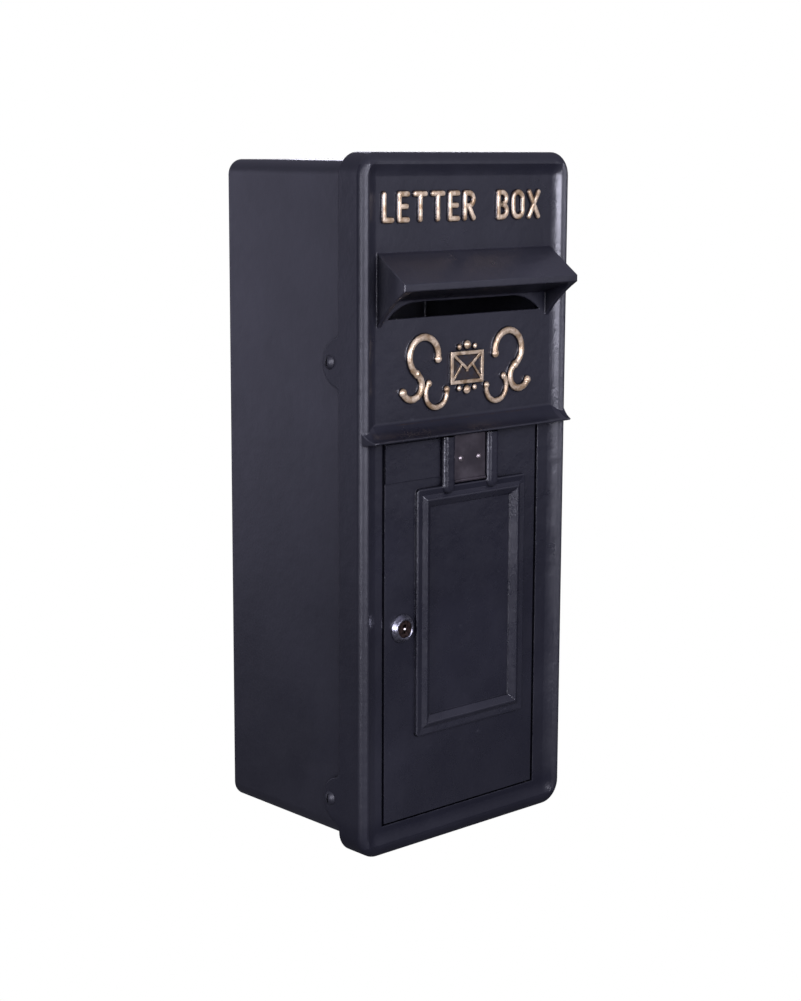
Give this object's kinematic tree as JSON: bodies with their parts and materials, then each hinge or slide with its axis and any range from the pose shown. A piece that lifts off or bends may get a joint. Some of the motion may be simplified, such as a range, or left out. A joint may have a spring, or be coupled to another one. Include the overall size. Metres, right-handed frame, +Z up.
{
  "type": "letter box",
  "caption": "Wall letter box: cast front with hooded slot, drip ledge and relief, hinged door with cam lock and tablet holder, and a deep box behind, bolted through side lugs.",
  "frame": {"origin": "middle of the four wall holes, on the rear face of the box, which lies against the wall", "axes": "+Z up, front faces -Y, the wall lies at Y = 0, +X to the right as seen from the front"},
  "size_m": [0.2468, 0.206, 0.58],
  "materials": {
    "front_paint": "satin black paint over the casting, with the raised relief picked out in gold",
    "box_paint": "satin black paint over a slightly uneven casting",
    "door_paint": "satin black paint over the casting",
    "tablet_metal": "dull pewter grey plate with worn edges",
    "rivet_metal": "dull grey rivet, rubbed bright",
    "lock_chrome": "polished plated lock face",
    "lock_brass": "worn brass key plug",
    "zinc_steel": "zinc plated",
    "pin_steel": "plain steel",
    "screw_paint": "painted over with the box"
  },
  "bodies": {
    "housing": {"front_casting": "front_paint", "rear_box": "box_paint", "hinge_pin_top": "pin_steel", "hinge_pin_bottom": "pin_steel", "lug_screw_left_top": "screw_paint", "lug_screw_left_bottom": "screw_paint", "lug_screw_right_top": "screw_paint", "lug_screw_right_bottom": "screw_paint", "lug_nut_left_top": "zinc_steel", "lug_nut_left_bottom": "zinc_steel", "lug_nut_right_top": "zinc_steel", "lug_nut_right_bottom": "zinc_steel"},
    "door_leaf": {"door": "door_paint", "tablet": "tablet_metal", "tablet_rivet_left": "rivet_metal", "tablet_rivet_right": "rivet_metal", "lock_barrel": "lock_chrome", "lock_nut": "zinc_steel"},
    "lock_core": {"lock_plug": "lock_brass", "lock_cam": "zinc_steel", "cam_washer": "zinc_steel", "cam_screw": "zinc_steel"}
  },
  "joints": [
    {"name": "door_hinge", "type": "hinge", "parent": "housing", "child": "door_leaf", "pos_m": [0.082, -0.1685, 0], "axis": [0, 0, 1], "range_deg": [0, 100]},
    {"name": "lock_turn", "type": "hinge", "parent": "door_leaf", "child": "lock_core", "pos_m": [-0.071, -0.16, -0.1025], "axis": [0, 1, 0], "range_deg": [0, 90]}
  ]
}
